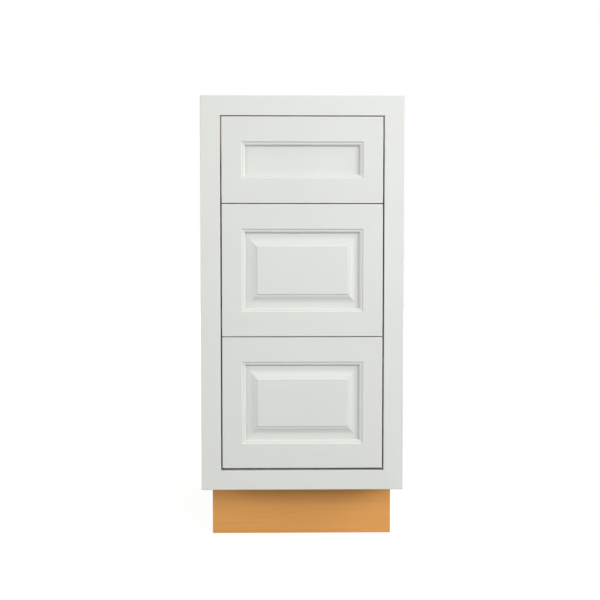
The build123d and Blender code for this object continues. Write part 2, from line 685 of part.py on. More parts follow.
os.makedirs("parts", exist_ok=True)
all_drawers = stack_drawers()
save_face_frame()
save_box()
save_slides(all_drawers)
for each in all_drawers:
    save_front(each)
    save_drawer_box(each)
    save_clips(each)
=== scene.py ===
"""Finishes, fittings and studio stage for an inset three-drawer base cabinet.

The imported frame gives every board, rail and clip its place. This script gives them their paint,
veneer, plating and rounded edges, and sets the floor, the lights and the camera.
"""

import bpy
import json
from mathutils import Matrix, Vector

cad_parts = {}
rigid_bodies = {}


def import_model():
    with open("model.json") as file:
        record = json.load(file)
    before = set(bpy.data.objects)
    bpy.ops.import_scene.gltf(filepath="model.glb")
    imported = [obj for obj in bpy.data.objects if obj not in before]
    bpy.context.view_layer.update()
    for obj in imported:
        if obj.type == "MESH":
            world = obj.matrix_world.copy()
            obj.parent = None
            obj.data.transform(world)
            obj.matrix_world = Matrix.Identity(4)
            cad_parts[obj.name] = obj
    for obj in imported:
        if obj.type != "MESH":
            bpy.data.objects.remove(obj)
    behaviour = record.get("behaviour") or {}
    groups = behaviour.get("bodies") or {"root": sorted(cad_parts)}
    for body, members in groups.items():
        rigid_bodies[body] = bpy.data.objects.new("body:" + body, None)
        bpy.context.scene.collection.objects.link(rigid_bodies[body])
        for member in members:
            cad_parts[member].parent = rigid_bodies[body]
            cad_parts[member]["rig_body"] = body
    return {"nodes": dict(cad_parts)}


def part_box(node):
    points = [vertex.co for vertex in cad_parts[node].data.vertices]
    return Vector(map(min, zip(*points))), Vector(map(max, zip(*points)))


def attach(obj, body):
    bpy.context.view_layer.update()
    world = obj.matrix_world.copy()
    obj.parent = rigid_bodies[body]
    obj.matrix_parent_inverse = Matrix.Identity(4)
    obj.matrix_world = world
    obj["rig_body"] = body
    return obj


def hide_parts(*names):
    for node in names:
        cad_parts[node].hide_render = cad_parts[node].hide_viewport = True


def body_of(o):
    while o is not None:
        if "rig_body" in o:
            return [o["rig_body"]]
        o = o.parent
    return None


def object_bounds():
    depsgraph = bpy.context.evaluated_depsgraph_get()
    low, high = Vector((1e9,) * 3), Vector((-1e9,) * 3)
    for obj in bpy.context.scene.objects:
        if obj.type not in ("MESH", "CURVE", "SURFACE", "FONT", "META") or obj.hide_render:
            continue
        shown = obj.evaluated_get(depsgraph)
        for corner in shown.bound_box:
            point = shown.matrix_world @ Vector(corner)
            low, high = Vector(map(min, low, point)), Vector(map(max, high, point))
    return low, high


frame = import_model()
CAD_BOX = [list(corner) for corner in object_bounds()]

import json
import math

import bpy
from bpy.props import FloatProperty, FloatVectorProperty, PointerProperty
from bpy.types import Operator, Panel, PropertyGroup
from mathutils import Vector

bl_info = {
    "name": "Drawer Base Cabinet",
    "version": (1, 0, 0),
    "blender": (4, 5, 0),
    "location": "View3D > Sidebar > Cabinet",
    "description": "Finishes, fittings and stage for an inset three-drawer base cabinet",
    "category": "Object",
}

DRAWERS = ("top_drawer", "middle_drawer", "bottom_drawer")
FACE_FRAME = ("left_stile", "right_stile", "top_rail", "bottom_rail")
FRONT_PIECES = (*FACE_FRAME, "panel")
X_AXIS, Y_AXIS, Z_AXIS = range(3)
QUARTER_TURN = math.pi / 2
WHITE = (1.0, 1.0, 1.0)

# Stretches of a noise that carry its contrast, and the noise's middle
WIDE = (0.2, 0.8)
MEDIUM = (0.25, 0.75)
NARROW = (0.3, 0.7)
NOISE_MIDDLE = (0.5, 0.5, 0.5)

# Grain of the wood: lumps per metre across the board, through it and along it
DRIFT_SCALE = (5.5, 5.5, 0.8)
FIBRE_SCALE = (620.0, 620.0, 13.0)
STREAK_SCALE = (95.0, 95.0, 2.2)
FLECK_SCALE = (330.0, 330.0, 24.0)
TONE_SCALE = (6.0, 6.0, 0.9)

# How far each part of the grain moves the colour from early wood to late wood
FIBRE_TINT = (-0.10, 0.14)
STREAK_TINT = (-0.16, 0.22)
TONE_TINT = (-0.10, 0.42)
FLECK_TINT = 0.34
FLECK_EDGE = (0.66, 0.76)

# Growth rings: how late in the year the wood darkens, when it ends, and how much years differ
LATE_POWER = 3.0
YEAR_END = (0.9, 1.0)
YEAR_STRENGTH = (0.5, 1.6)

# How deep flecks and late wood lie, as shares of the pore depth
FLECK_DEPTH = -0.6
LATE_DEPTH = -0.25

# How strongly the rings show on each kind of board
BOARD_FIGURE = 0.5
CLEAT_FIGURE = 0.7
VENEER_FIGURE = 0.62
TOE_FIGURE = 0.3

# Roughness and shine of wood, and the roughness that bare wood and plywood edges add
WOOD_ROUGHNESS = (0.34, 0.50)
BARE_ROUGHNESS = 0.3
EDGE_ROUGHNESS = 0.22
VARNISH_SHINE = 0.45
VENEER_SHINE = 0.42
BARE_SHINE = 0.3

# Turns that bring a board's grain from each axis to Z, a little off true as in sawn boards
GRAIN_TURNS = {
    X_AXIS: (0.02, -QUARTER_TURN, 0.0),
    Y_AXIS: (QUARTER_TURN, 0.02, 0.0),
    Z_AXIS: (0.015, 0.02, 0.0),
}

# Plies: their waver, specks, glue lines, and how dark each is
PLY_WAVER_SCALE = 60.0
PLY_WAVER = (-0.12, 0.12)
PLY_SPECK_SCALE = 1500.0
PLY_SPECK_TINT = (-0.15, 0.25)
CROSS_PLY_TINT = 0.7
GLUE_EDGE = (0.42, 0.48)
GLUE_TINT = 0.35
GLUE_DEPTH = -0.5

# Worn edges and painted light: slant of a rubbed, painted-highlight edge, patches of handling, painted
# corner shade
SLANT = (0.98, 0.80)
HANDLING_SCALE = 70.0
HANDLING_EDGE = (0.35, 0.65)
HANDLING = (0.35, 1.0)
CORNER_SHADE = (0.75, 0.10)
CORNER_SAMPLES = 8

# Satin paint: its shine, and how much smoother and rougher than its mean the clouds are
PAINT_SHINE = 0.42
CLOUD_SMOOTHER = 0.03
CLOUD_ROUGHER = 0.04

# Plated steel: crystals and rolling lines per metre, roughness, dullness and relief
CRYSTAL_SCALE = 190.0
ROLLING_SCALE = (1900.0, 9.0, 1900.0)
ROLLING_RELIEF = 0.000006
ZINC_CLOUD = 0.03
ZINC_ROUGHNESS = (0.20, 0.30)
DULL_ROUGHNESS = 0.16
SCREW_RIPPLE = 0.0005
SCREW_CLOUD = 0.004
SCREW_ROUGHNESS = (0.24, 0.44)
SCREW_RELIEF = 0.00001

# Moulded plastic: the clouds in its colour, and its roughness
PLASTIC_CLOUD = 0.012
PLASTIC_CLOUD_TINT = 0.22
PLASTIC_ROUGHNESS = (0.40, 0.58)

# Floor: specks in its tone, and the glow near the cabinet and far from it
FLOOR_SPECK_SCALE = 40.0
FLOOR_SPECK = (0.97, 1.0)
FLOOR_ROUGHNESS = 0.9
FLOOR_SHINE = 0.1
GLOW_REACH = (0.5, 3.0)
GLOW = (0.90, 1.0)

# Rounded pieces: how near points are merged, which faces are one, which edges are rounded or smooth
MERGE_DISTANCE = 0.000002
FLAT_WITHIN = math.radians(0.5)
HARD_EDGE = math.radians(40)
SMOOTH_WITHIN = math.radians(35)
BEVEL_STEPS = 2

# How far each drawer's boards and bottom move on in their log from the drawer above
BOARD_STEP = (0.05, -0.03, 2.0)
BOTTOM_STEP = (0.0, 0.4, 1.0)


# Settings that a user would change

def colour(name, description, default):
    """Colour property in scene-linear values."""
    return FloatVectorProperty(
        name=name, description=description, default=default, subtype="COLOR", size=3, min=0.0, max=1.0,
    )


def length(name, description, default):
    """Length property in metres."""
    return FloatProperty(
        name=name, description=description, default=default, unit="LENGTH", precision=5,
    )


def spot(name, description, default):
    """Place in metres, in the cabinet's frame."""
    return FloatVectorProperty(
        name=name, description=description, default=default, subtype="TRANSLATION",
    )


def angle(name, description, degrees):
    """Angle property with its default in degrees."""
    return FloatProperty(
        name=name, description=description, default=math.radians(degrees), subtype="ANGLE",
    )


def wattage(name, description, default):
    """Power of a light."""
    return FloatProperty(name=name, description=description, default=default, unit="POWER")


def share(name, description, default):
    """Share from nothing to all."""
    return FloatProperty(
        name=name, description=description, default=default, subtype="FACTOR", min=0.0, max=1.0,
    )


class PaintSettings(PropertyGroup):
    """Sprayed paint of the face frame and the drawer fronts."""

    frame_film: colour("Frame paint", "Paint film on the face frame", (0.718, 0.732, 0.701))
    front_film: colour("Front paint", "Paint film on the drawer fronts", (0.702, 0.716, 0.685))
    cloud: share("Cloud", "How much darker the film is where it lies thicker", 0.026)
    cloud_width: length("Cloud width", "Width of the thicker and thinner patches", 0.16)
    # Rubbed-edge colour: lightens the slanted eased edges, partly thin film and partly a painted
    # highlight
    rub_and_highlight: colour("Rubbed edge", "Colour of the eased edges, where the film is thin", (0.88, 0.88, 0.85))
    rub_and_highlight_share: share("Rub and Highlight", "How strongly the rubbed edges show", 0.15)
    # Corner colour: painted shade, with some dust, darkening inner corners and the gaps between parts
    corner: colour("Corner", "Colour of dust and shade in inner corners", (0.30, 0.29, 0.24))
    corner_share: share("Corner shade", "How strongly the corners' shade shows", 0.6)
    corner_reach: length("Corner reach", "How far that shade reaches", 0.004)
    peel: length("Peel", "Width of the fine ripple that spraying leaves", 0.0016)
    relief: length("Relief", "Height of that ripple", 0.00002)
    roughness: share("Roughness", "Roughness of the satin film", 0.40)


class WoodSettings(PropertyGroup):
    """Bare and varnished wood."""

    toe_light: colour("Toe kick, early wood", "Pale wood of the toe kick", (0.808, 0.389, 0.109))
    toe_dark: colour("Toe kick, late wood", "Dark lines of the toe kick", (0.685, 0.299, 0.075))
    veneer_light: colour("Veneer, early wood", "Pale wood of the plywood", (0.71, 0.485, 0.260))
    veneer_dark: colour("Veneer, late wood", "Dark lines of the plywood", (0.54, 0.325, 0.145))
    # Inside veneer: darker and greyer than the outside veneer, painted shade for the inside of the box
    shaded_inside_early: colour("Inside, early wood", "Pale wood inside the box", (0.54, 0.44, 0.31))
    shaded_inside_late: colour("Inside, late wood", "Dark lines inside the box", (0.42, 0.33, 0.22))
    ply_light: colour("Long plies", "Plies seen along their grain", (0.66, 0.45, 0.24))
    ply_dark: colour("Cross plies", "Plies seen on their end grain", (0.36, 0.20, 0.085))
    drawer_light: colour("Drawer, early wood", "Pale wood of the drawers", (0.77, 0.565, 0.325))
    drawer_dark: colour("Drawer, late wood", "Dark lines of the drawers", (0.57, 0.36, 0.165))
    cleat_light: colour("Cleats, early wood", "Pale wood of cleats and braces", (0.66, 0.50, 0.29))
    cleat_dark: colour("Cleats, late wood", "Dark lines of cleats and braces", (0.44, 0.31, 0.15))
    ring: length("Growth ring", "Width of a year's growth in solid boards", 0.0042)
    sliced_ring: length("Sliced ring", "Width of a year's growth as veneer shows it", 0.0075)
    wander: length("Wander", "How far the rings wander from true circles", 0.011)
    sliced_wander: length("Sliced wander", "How far they wander in veneer", 0.022)
    ply: length("Ply", "Thickness of one ply", 0.0017)
    pore: length("Pore depth", "Depth of the open grain", 0.00003)
    easing: length("Eased edge", "Radius of the edges of cleats and braces", 0.0008)


class MetalSettings(PropertyGroup):
    """Plated steel of the slides and screws."""

    zinc: colour("Zinc", "Colour of the slides' plating", (0.60, 0.61, 0.62))
    zinc_dull: colour("Dull zinc", "Colour of the plating's duller crystals", (0.44, 0.45, 0.47))
    screw: colour("Screw", "Colour of the screws' plating", (0.66, 0.62, 0.54))
    screw_dull: colour("Dull screw", "Dull spots of the screws' plating", (0.46, 0.42, 0.35))
    bend: length("Bend", "Radius of the folded sheet's edges", 0.0004)


class PlasticSettings(PropertyGroup):
    """Moulded clips and levers under the drawers."""

    clip: colour("Clip", "Grey of the locking clips", (0.115, 0.12, 0.125))
    # Pale tones tint the slow clouds and lighten the slanted edges, there partly rub and partly painted
    # highlight
    clip_pale: colour("Pale clip", "Grey of the clips' rubbed edges", (0.26, 0.265, 0.27))
    lever: colour("Lever", "Orange of the release levers", (0.62, 0.17, 0.03))
    lever_pale: colour("Pale lever", "Orange of the levers' rubbed edges", (0.80, 0.34, 0.12))
    # Dust colour: darkens inner corners as painted shade with some dust
    dust_and_shade: colour("Dust", "Colour of dust in inner corners", (0.05, 0.05, 0.05))
    rub_and_highlight_share: share("Rub and Highlight", "How strongly the rubbed edges show", 0.6)
    corner_share: share("Corner dust", "How strongly the dust shows", 0.3)
    corner_reach: length("Corner reach", "How far the dust reaches", 0.003)
    rounding: length("Rounding", "Radius of the moulded edges", 0.0004)
    texture: length("Texture", "Width of the mould's spark texture", 0.0004)
    relief: length("Relief", "Depth of that texture", 0.00002)


class StageSettings(PropertyGroup):
    """Floor, camera and lights."""

    camera: spot("Camera", "Place of the camera", (-0.0305, -2.045, 0.563))
    tilt: angle("Tilt", "How far the camera looks down", 2.587)
    turn: angle("Turn", "How far the camera looks to the right", 0.853)
    lens: FloatProperty(name="Lens", description="Focal length", unit="CAMERA", default=54.11)
    floor: length("Floor", "Width of the floor", 16.0)
    pale: colour("Pale floor", "Colour of the floor", (0.18, 0.18, 0.18))
    air: FloatProperty(name="Air", description="Brightness of the light from all round", default=0.478)
    front: spot("Front light", "Large light behind the camera", (1.43, -5.3, 2.05))
    front_power: wattage("Front power", "Power of the front light", 106.5)
    front_width: length("Front width", "Width of the front light", 2.6)
    left: spot("Left light", "Light on the left", (-2.8, -2.4, 1.2))
    left_power: wattage("Left power", "Power of the left light", 27.9)
    right: spot("Right light", "Light on the right", (2.8, -2.4, 1.2))
    right_power: wattage("Right power", "Power of the right light", 39.7)
    side_width: length("Side width", "Width of the lights on both sides", 1.4)
    upper: spot("Upper light", "Light that grazes the front from the upper right", (2.6, -1.0, 2.3))
    upper_power: wattage("Upper power", "Power of the upper light", 30.8)
    upper_width: length("Upper width", "Width of the upper light", 1.2)
    rear: spot("Rear light", "Low light behind the cabinet, below its top", (1.3, 4.4, 0.42))
    rear_power: wattage("Rear power", "Power of the rear light", 60.0)
    rear_width: length("Rear width", "Width of the rear light", 0.8)


class CabinetSettings(PropertyGroup):
    """All settings of the cabinet's finishes."""

    paint: PointerProperty(type=PaintSettings)
    wood: PointerProperty(type=WoodSettings)
    metal: PointerProperty(type=MetalSettings)
    plastic: PointerProperty(type=PlasticSettings)
    stage: PointerProperty(type=StageSettings)


# Node trees

class Nodes:
    """One node tree, with short ways to add nodes and join them."""

    def __init__(self, tree):
        self.tree = tree

    def add(self, kind, inputs=None, **settings):
        """Add a shader node, set it up, and set or link its inputs by name or number."""
        node = self.tree.nodes.new("ShaderNode" + kind)
        for name, value in settings.items():
            setattr(node, name, value)
        for key, value in (inputs or {}).items():
            self.feed(node.inputs[key], value)
        return node

    def feed(self, socket, value):
        """Link an output to a socket, or set the socket's value."""
        if isinstance(value, bpy.types.NodeSocket):
            self.tree.links.new(value, socket)
        elif socket.type == "RGBA":
            socket.default_value = (*value[:3], 1.0)
        else:
            socket.default_value = value

    def maths(self, operation, *values, clamp=False):
        """Sum, product or the like of numbers."""
        inputs = dict(enumerate(values))
        return self.add("Math", inputs, operation=operation, use_clamp=clamp).outputs[0]

    def vectors(self, operation, *values):
        """Sum, product or the like of vectors."""
        return self.add("VectorMath", dict(enumerate(values)), operation=operation).outputs[0]

    def mix(self, factor, first, second, blend="MIX"):
        """Colour between two colours."""
        inputs = {0: factor, 6: first, 7: second}
        return self.add("Mix", inputs, data_type="RGBA", blend_type=blend).outputs[2]

    def between(self, value, low, high, to_low=0.0, to_high=1.0):
        """Number carried from one range to another and kept inside it."""
        inputs = {"Value": value, "From Min": low, "From Max": high}
        return self.add("MapRange", {**inputs, "To Min": to_low, "To Max": to_high}).outputs[0]

    def noise(self, vector, scale, detail=2.0, output="Fac"):
        """Noise whose lumps are one over scale wide; scale may differ along each axis."""
        if not isinstance(scale, (int, float, bpy.types.NodeSocket)):
            vector = self.vectors("MULTIPLY", vector, scale)
            scale = 1.0
        inputs = {"Vector": vector, "Scale": scale, "Detail": detail}
        return self.add("TexNoise", inputs).outputs[output]

    def split(self, vector):
        """The three parts of a vector."""
        return self.add("SeparateXYZ", {0: vector}).outputs

    def group(self, tree, inputs):
        """Outputs of a node group placed with these inputs."""
        return self.add("Group", inputs, node_tree=tree).outputs


def new_group(name, inputs, outputs):
    """Empty node group with named sockets: its tree, nodes, group inputs and group outputs."""
    tree = bpy.data.node_groups.new(name, "ShaderNodeTree")
    for label, kind in inputs.items():
        tree.interface.new_socket(label, in_out="INPUT", socket_type="NodeSocket" + kind)
    for label, kind in outputs.items():
        tree.interface.new_socket(label, in_out="OUTPUT", socket_type="NodeSocket" + kind)
    source = tree.nodes.new("NodeGroupInput").outputs
    return tree, Nodes(tree), source, tree.nodes.new("NodeGroupOutput").inputs


def maple_grain():
    """Wood whose grain runs along Z: growth rings, fibres, flecks and slow changes of tone."""
    if "Maple Grain" in bpy.data.node_groups:
        return bpy.data.node_groups["Maple Grain"]
    inputs = {
        "Vector": "Vector", "Early": "Color", "Late": "Color",
        "Ring": "Float", "Figure": "Float", "Wander": "Float",
    }
    outputs = {"Colour": "Color", "Roughness": "Float", "Height": "Float"}
    tree, nodes, source, sink = new_group("Maple Grain", inputs, outputs)
    place = source["Vector"]
    drift = nodes.noise(place, DRIFT_SCALE, output="Color")
    drift = nodes.vectors("SUBTRACT", drift, NOISE_MIDDLE)
    reach = nodes.maths("MULTIPLY", source["Wander"], 2.0)
    drift = nodes.add("VectorMath", {0: drift, "Scale": reach}, operation="SCALE").outputs[0]
    x, y, _ = nodes.split(nodes.vectors("ADD", place, drift))
    squares = nodes.maths("ADD", nodes.maths("POWER", x, 2.0), nodes.maths("POWER", y, 2.0))
    years = nodes.maths("DIVIDE", nodes.maths("SQRT", squares), source["Ring"])
    season = nodes.maths("FRACT", years)
    late = nodes.maths("POWER", season, LATE_POWER)
    late = nodes.maths("MULTIPLY", late, nodes.between(season, *YEAR_END, 1.0, 0.0))
    count = nodes.maths("FLOOR", years)
    year = nodes.add("TexWhiteNoise", {"W": count}, noise_dimensions="1D").outputs["Value"]
    rings = nodes.maths("MULTIPLY", late, nodes.between(year, 0.0, 1.0, *YEAR_STRENGTH))
    fibre = nodes.noise(place, FIBRE_SCALE, detail=3.0)
    streak = nodes.noise(place, STREAK_SCALE)
    fleck = nodes.between(nodes.noise(place, FLECK_SCALE, detail=1.0), *FLECK_EDGE)
    tone = nodes.noise(place, TONE_SCALE)
    amount = nodes.maths("MULTIPLY", rings, source["Figure"])
    amount = nodes.maths("ADD", amount, nodes.between(fibre, *WIDE, *FIBRE_TINT))
    amount = nodes.maths("ADD", amount, nodes.between(streak, *MEDIUM, *STREAK_TINT))
    amount = nodes.maths("ADD", amount, nodes.between(tone, *MEDIUM, *TONE_TINT))
    amount = nodes.maths("MULTIPLY_ADD", fleck, FLECK_TINT, amount, clamp=True)
    nodes.feed(sink["Colour"], nodes.mix(amount, source["Early"], source["Late"]))
    nodes.feed(sink["Roughness"], nodes.between(fibre, *MEDIUM, *WOOD_ROUGHNESS))
    height = nodes.maths("MULTIPLY_ADD", fleck, FLECK_DEPTH, fibre)
    nodes.feed(sink["Height"], nodes.maths("MULTIPLY_ADD", late, LATE_DEPTH, height))
    return tree


def ply_layers():
    """Edge of plywood: long plies and end-grain plies in turn, with a glue line between them."""
    if "Ply Layers" in bpy.data.node_groups:
        return bpy.data.node_groups["Ply Layers"]
    inputs = {
        "Vector": "Vector", "Depth": "Float", "Ply": "Float", "Long": "Color", "Cross": "Color",
    }
    outputs = {"Colour": "Color", "Height": "Float"}
    tree, nodes, source, sink = new_group("Ply Layers", inputs, outputs)
    waver = nodes.between(nodes.noise(source["Vector"], PLY_WAVER_SCALE), 0.0, 1.0, *PLY_WAVER)
    layers = nodes.maths("ADD", nodes.maths("DIVIDE", source["Depth"], source["Ply"]), waver)
    cross = nodes.maths("FLOOR", nodes.maths("MODULO", nodes.maths("ABSOLUTE", layers), 2.0))
    glue = nodes.maths("ABSOLUTE", nodes.maths("SUBTRACT", nodes.maths("FRACT", layers), 0.5))
    glue = nodes.between(glue, *GLUE_EDGE)
    speck = nodes.noise(source["Vector"], PLY_SPECK_SCALE)
    specks = nodes.between(speck, *NARROW, *PLY_SPECK_TINT)
    shade = nodes.maths("MULTIPLY_ADD", cross, CROSS_PLY_TINT, specks)
    shade = nodes.maths("MULTIPLY_ADD", glue, GLUE_TINT, shade, clamp=True)
    nodes.feed(sink["Colour"], nodes.mix(shade, source["Long"], source["Cross"]))
    nodes.feed(sink["Height"], nodes.maths("MULTIPLY_ADD", glue, GLUE_DEPTH, speck))
    return tree


def surface_film():
    """Fine ripple and slow clouds that sprayed, plated and moulded surfaces show."""
    if "Surface Film" in bpy.data.node_groups:
        return bpy.data.node_groups["Surface Film"]
    inputs = {"Vector": "Vector", "Ripple Width": "Float", "Cloud Width": "Float"}
    outputs = {"Ripple": "Float", "Cloud": "Float"}
    tree, nodes, source, sink = new_group("Surface Film", inputs, outputs)
    ripples = nodes.maths("DIVIDE", 1.0, source["Ripple Width"])
    clouds = nodes.maths("DIVIDE", 1.0, source["Cloud Width"])
    cloud = nodes.noise(source["Vector"], clouds, detail=3.0)
    nodes.feed(sink["Ripple"], nodes.noise(source["Vector"], ripples, detail=1.0))
    nodes.feed(sink["Cloud"], nodes.between(cloud, *NARROW))
    return tree


def edge_wear_and_painted_light_group():
    """Masks of the slanting edges, rubbed by handling and lightened as painted highlight, and of the
    inner corners, darkened as painted shade.
    """
    if "Edge Wear and Painted Light" in bpy.data.node_groups:
        return bpy.data.node_groups["Edge Wear and Painted Light"]
    inputs = {"Vector": "Vector", "Normal": "Vector", "Corner Reach": "Float"}
    outputs = {"Rub and Highlight": "Float", "Corner": "Float"}
    tree, nodes, source, sink = new_group("Edge Wear and Painted Light", inputs, outputs)
    x, y, z = nodes.split(nodes.vectors("ABSOLUTE", source["Normal"]))
    square = nodes.maths("MAXIMUM", nodes.maths("MAXIMUM", x, y), z)
    slant = nodes.between(square, *SLANT)
    handling = nodes.noise(source["Vector"], HANDLING_SCALE, detail=4.0)
    handling = nodes.between(handling, *HANDLING_EDGE, *HANDLING)
    # Slanted faces, in the patches of handling, are lightened: partly rub, partly a painted highlight
    nodes.feed(sink["Rub and Highlight"], nodes.maths("MULTIPLY", slant, handling))
    # Occlusion by nearby surfaces, of this and other parts, gives the mask of painted shade in corners
    # and gaps
    reach = {"Distance": source["Corner Reach"]}
    shade = nodes.add("AmbientOcclusion", reach, samples=CORNER_SAMPLES).outputs["AO"]
    nodes.feed(sink["Corner"], nodes.between(shade, *CORNER_SHADE))
    return tree


# Materials

def new_material(name):
    """Empty material and its nodes."""
    material = bpy.data.materials.new(name)
    material.use_nodes = True
    material.node_tree.nodes.clear()
    return material, Nodes(material.node_tree)


def close(nodes, surface):
    """Lead a shader to the material's output."""
    output = nodes.add("OutputMaterial")
    nodes.feed(output.inputs["Surface"], surface.outputs[0])


def bump(nodes, height, relief):
    """Normal of a surface with this relief, a length."""
    inputs = {"Height": height, "Distance": relief, "Strength": 1.0}
    return nodes.add("Bump", inputs).outputs["Normal"]


def wear_and_painted_light(nodes, coordinates, reach):
    """Masks of the rubbed edges with their painted highlight, and of the corners' painted shade, as far
    as it reaches.
    """
    return nodes.group(edge_wear_and_painted_light_group(), {
        "Vector": coordinates["Object"], "Normal": coordinates["Normal"], "Corner Reach": reach,
    })


def satin_paint(name, film, paint):
    """Sprayed satin paint: ripple, slow clouds, thin film and painted highlight on eased edges, painted
    shade in corners.
    """
    material, nodes = new_material(name)
    coordinates = nodes.add("TexCoord").outputs
    spray = nodes.group(surface_film(), {
        "Vector": coordinates["Object"], "Ripple Width": paint.peel, "Cloud Width": paint.cloud_width,
    })
    edge_and_corner_masks = wear_and_painted_light(nodes, coordinates, paint.corner_reach)
    thick_film = [part * (1.0 - paint.cloud) for part in film]
    base = nodes.mix(spray["Cloud"], film, thick_film)
    # Lighten slanted edges towards the rub colour: partly worn film, partly painted highlight
    base = nodes.mix(nodes.maths("MULTIPLY", edge_and_corner_masks["Rub and Highlight"], paint.rub_and_highlight_share), base, paint.rub_and_highlight)
    # Darken inner corners and gaps towards the corner colour: painted shade with a little dust
    base = nodes.mix(nodes.maths("MULTIPLY", edge_and_corner_masks["Corner"], paint.corner_share), base, paint.corner)
    smooth = paint.roughness - CLOUD_SMOOTHER
    rough = paint.roughness + CLOUD_ROUGHER
    surface = nodes.add("BsdfPrincipled", {
        "Base Color": base,
        "Roughness": nodes.between(spray["Cloud"], 0.0, 1.0, smooth, rough),
        "Specular IOR Level": PAINT_SHINE,
        "Normal": bump(nodes, spray["Ripple"], paint.relief),
    })
    close(nodes, surface)
    return material


def along_grain(nodes, axis, offset):
    """Object coordinates, also turned so that the grain axis is Z and moved off the log's heart."""
    coordinates = nodes.add("TexCoord").outputs
    inputs = {"Vector": coordinates["Object"], "Rotation": GRAIN_TURNS[axis], "Location": offset}
    return coordinates, nodes.add("Mapping", inputs).outputs[0]


def solid_board(name, wood, tones, axis, offset, figure=BOARD_FIGURE, bare=False):
    """Solid maple, varnished or bare, with its grain along an axis; tones are early and late wood."""
    material, nodes = new_material(name)
    _, place = along_grain(nodes, axis, offset)
    grain = nodes.group(maple_grain(), {
        "Vector": place, "Early": tones[0], "Late": tones[1],
        "Ring": wood.ring, "Figure": figure, "Wander": wood.wander,
    })
    roughness = grain["Roughness"]
    if bare:
        roughness = nodes.maths("ADD", roughness, BARE_ROUGHNESS)
    surface = nodes.add("BsdfPrincipled", {
        "Base Color": grain["Colour"],
        "Roughness": roughness,
        "Specular IOR Level": BARE_SHINE if bare else VARNISH_SHINE,
        "Normal": bump(nodes, grain["Height"], wood.pore),
    })
    close(nodes, surface)
    return material


def plywood(name, wood, tones, axes, offset, low, figure=VENEER_FIGURE, inside=0.0):
    """Veneered plywood: sliced grain on its faces and plies on its edges, counted from a low face.

    The axes are those of its thickness and its grain. The face that looks to the inside of the box,
    1.0 or -1.0 along the thickness, has the darker, greyer inside veneer, painted shade for the box's
    inside.
    """
    thickness_axis, grain_axis = axes
    material, nodes = new_material(name)
    coordinates, place = along_grain(nodes, grain_axis, offset)
    across = nodes.split(coordinates["Normal"])[thickness_axis]
    early, late = tones
    # The inside face takes the darker, greyer veneer: painted shade inside the box
    if inside:
        inner = nodes.maths("GREATER_THAN", nodes.maths("MULTIPLY", across, inside), 0.5)
        early = nodes.mix(inner, early, wood.shaded_inside_early)
        late = nodes.mix(inner, late, wood.shaded_inside_late)
    grain = nodes.group(maple_grain(), {
        "Vector": place, "Early": early, "Late": late,
        "Ring": wood.sliced_ring, "Figure": figure, "Wander": wood.sliced_wander,
    })
    depth = nodes.maths("SUBTRACT", nodes.split(coordinates["Object"])[thickness_axis], low)
    layers = nodes.group(ply_layers(), {
        "Vector": coordinates["Object"], "Depth": depth, "Ply": wood.ply,
        "Long": wood.ply_light, "Cross": wood.ply_dark,
    })
    edge = nodes.maths("LESS_THAN", nodes.maths("ABSOLUTE", across), 0.5)
    height = nodes.mix(edge, grain["Height"], layers["Height"])
    surface = nodes.add("BsdfPrincipled", {
        "Base Color": nodes.mix(edge, grain["Colour"], layers["Colour"]),
        "Roughness": nodes.maths("MULTIPLY_ADD", edge, EDGE_ROUGHNESS, grain["Roughness"]),
        "Specular IOR Level": VENEER_SHINE,
        "Normal": bump(nodes, height, wood.pore),
    })
    close(nodes, surface)
    return material


def zinc_plate(metal):
    """Zinc-plated sheet steel: pale crystals, fine rolling lines along the slide, dull patches."""
    material, nodes = new_material("Zinc Plate")
    place = nodes.add("TexCoord").outputs["Object"]
    crystals = nodes.add("TexVoronoi", {"Vector": place, "Scale": CRYSTAL_SCALE}).outputs["Color"]
    crystal = nodes.maths("MULTIPLY", nodes.split(crystals)[0], 0.5)
    rolled = nodes.noise(place, ROLLING_SCALE)
    film = nodes.group(surface_film(), {"Vector": place, "Cloud Width": ZINC_CLOUD})
    dull = nodes.maths("MULTIPLY_ADD", film["Cloud"], 0.5, crystal)
    lines = nodes.between(rolled, *NARROW, *ZINC_ROUGHNESS)
    surface = nodes.add("BsdfPrincipled", {
        "Base Color": nodes.mix(dull, metal.zinc, metal.zinc_dull),
        "Metallic": 1.0,
        "Roughness": nodes.maths("MULTIPLY_ADD", dull, DULL_ROUGHNESS, lines),
        "Normal": bump(nodes, rolled, ROLLING_RELIEF),
    })
    close(nodes, surface)
    return material


def screw_plate(metal):
    """Yellow-passivated screw steel with dull spots."""
    material, nodes = new_material("Screw Plate")
    place = nodes.add("TexCoord").outputs["Object"]
    film = nodes.group(surface_film(), {
        "Vector": place, "Ripple Width": SCREW_RIPPLE, "Cloud Width": SCREW_CLOUD,
    })
    surface = nodes.add("BsdfPrincipled", {
        "Base Color": nodes.mix(film["Cloud"], metal.screw, metal.screw_dull),
        "Metallic": 1.0,
        "Roughness": nodes.between(film["Cloud"], 0.0, 1.0, *SCREW_ROUGHNESS),
        "Normal": bump(nodes, film["Ripple"], SCREW_RELIEF),
    })
    close(nodes, surface)
    return material


